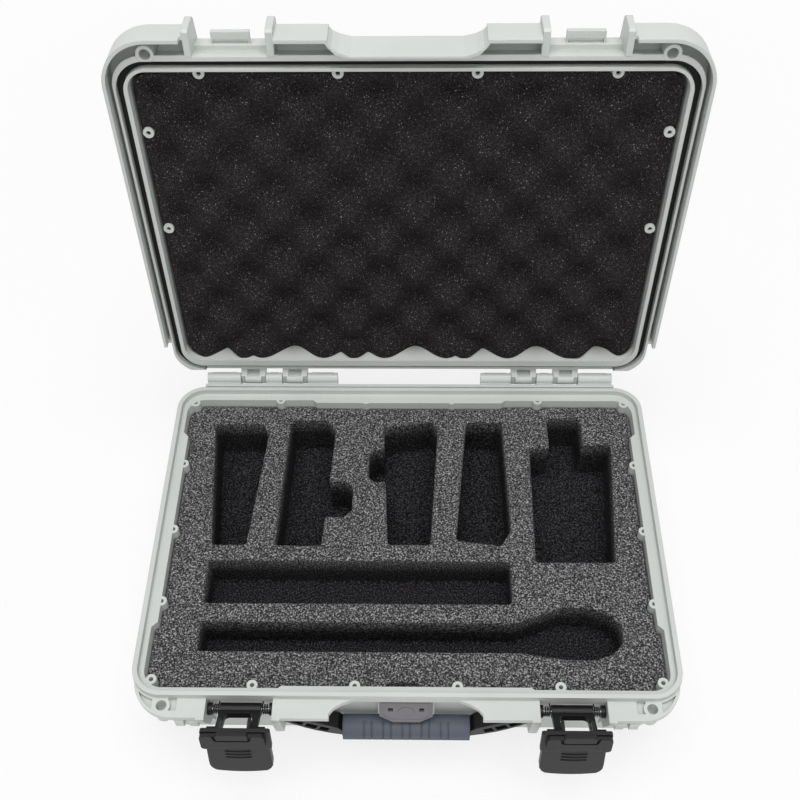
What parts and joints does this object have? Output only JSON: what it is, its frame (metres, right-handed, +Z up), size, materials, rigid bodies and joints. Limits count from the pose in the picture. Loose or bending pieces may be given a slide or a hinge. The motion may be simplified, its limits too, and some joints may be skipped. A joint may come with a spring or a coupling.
{
  "type": "microphone case",
  "caption": "Hard carrying case for a microphone set, with hinged lid, two lever latches with slide locks, folding handle, sealed rim and fitted foam.",
  "frame": {"origin": "on the floor under the centre of the base, at the middle of the bottom face", "axes": "+Z up, -Y to the front where the latches and the handle are, +X to the right seen from the front"},
  "size_m": [0.362, 0.3527, 0.3596],
  "materials": {
    "case_polymer": "satin moulded polymer, light silver grey",
    "valve_polymer": "satin moulded polymer, mid grey",
    "black_polymer": "fine-textured black polymer",
    "grip_rubber": "matt blue-grey rubber",
    "gasket_rubber": "matt black rubber",
    "base_foam": "closed-cell foam, charcoal, cut faces",
    "lid_foam": "convoluted open-cell foam, near black",
    "membrane": "matt white membrane",
    "pin_steel": "stainless steel",
    "spring_steel": "black coated spring wire"
  },
  "bodies": {
    "base": {"base_shell": "case_polymer", "base_foam": "base_foam", "base_foam_pad": "base_foam", "hinge_pin_left": "pin_steel", "hinge_pin_right": "pin_steel", "latch_left_pivot_pin": "pin_steel", "latch_right_pivot_pin": "pin_steel", "latch_left_bushings": "black_polymer", "latch_right_bushings": "black_polymer", "relief_valve_cover": "valve_polymer", "relief_valve_seal": "gasket_rubber", "relief_valve_membrane": "membrane"},
    "lid": {"lid_shell": "case_polymer", "lid_gasket": "gasket_rubber", "lid_foam": "lid_foam"},
    "handle": {"handle_frame": "black_polymer", "handle_grip": "grip_rubber"},
    "link_left": {"latch_left_link": "black_polymer", "latch_left_springs": "spring_steel"},
    "lever_left": {"latch_left_lever": "black_polymer", "latch_left_lever_pin": "pin_steel"},
    "lock_left": {"latch_left_lock": "black_polymer"},
    "link_right": {"latch_right_link": "black_polymer", "latch_right_springs": "spring_steel"},
    "lever_right": {"latch_right_lever": "black_polymer", "latch_right_lever_pin": "pin_steel"},
    "lock_right": {"latch_right_lock": "black_polymer"}
  },
  "joints": [
    {"name": "lid_hinge", "type": "hinge", "parent": "base", "child": "lid", "pos_m": [0, 0.13465, 0.0828], "axis": [1, 0, 0], "range_deg": [0, 96]},
    {"name": "handle_swing", "type": "hinge", "parent": "base", "child": "handle", "pos_m": [0, -0.127, 0.07], "axis": [-1, 0, 0], "range_deg": [0, 90]},
    {"name": "latch_left_swing", "type": "hinge", "parent": "base", "child": "link_left", "pos_m": [-0.1045, -0.127, 0.07], "axis": [-1, 0, 0], "range_deg": [0, 45]},
    {"name": "latch_left_fold", "type": "hinge", "parent": "link_left", "child": "lever_left", "pos_m": [-0.1045, -0.14605, 0.081], "axis": [1, 0, 0], "range_deg": [0, 54]},
    {"name": "latch_left_lock_slide", "type": "slide", "parent": "lever_left", "child": "lock_left", "axis": [1, 0, 0], "range_m": [0, 0.0028]},
    {"name": "latch_right_swing", "type": "hinge", "parent": "base", "child": "link_right", "pos_m": [0.1045, -0.127, 0.07], "axis": [-1, 0, 0], "range_deg": [0, 45]},
    {"name": "latch_right_fold", "type": "hinge", "parent": "link_right", "child": "lever_right", "pos_m": [0.1045, -0.14605, 0.081], "axis": [1, 0, 0], "range_deg": [0, 54]},
    {"name": "latch_right_lock_slide", "type": "slide", "parent": "lever_right", "child": "lock_right", "axis": [-1, 0, 0], "range_m": [0, 0.0028]}
  ],
  "couplings": [
    {"joint": "latch_left_fold", "follows": "latch_left_swing", "ratio": 1.2},
    {"joint": "latch_right_fold", "follows": "latch_right_swing", "ratio": 1.2}
  ]
}
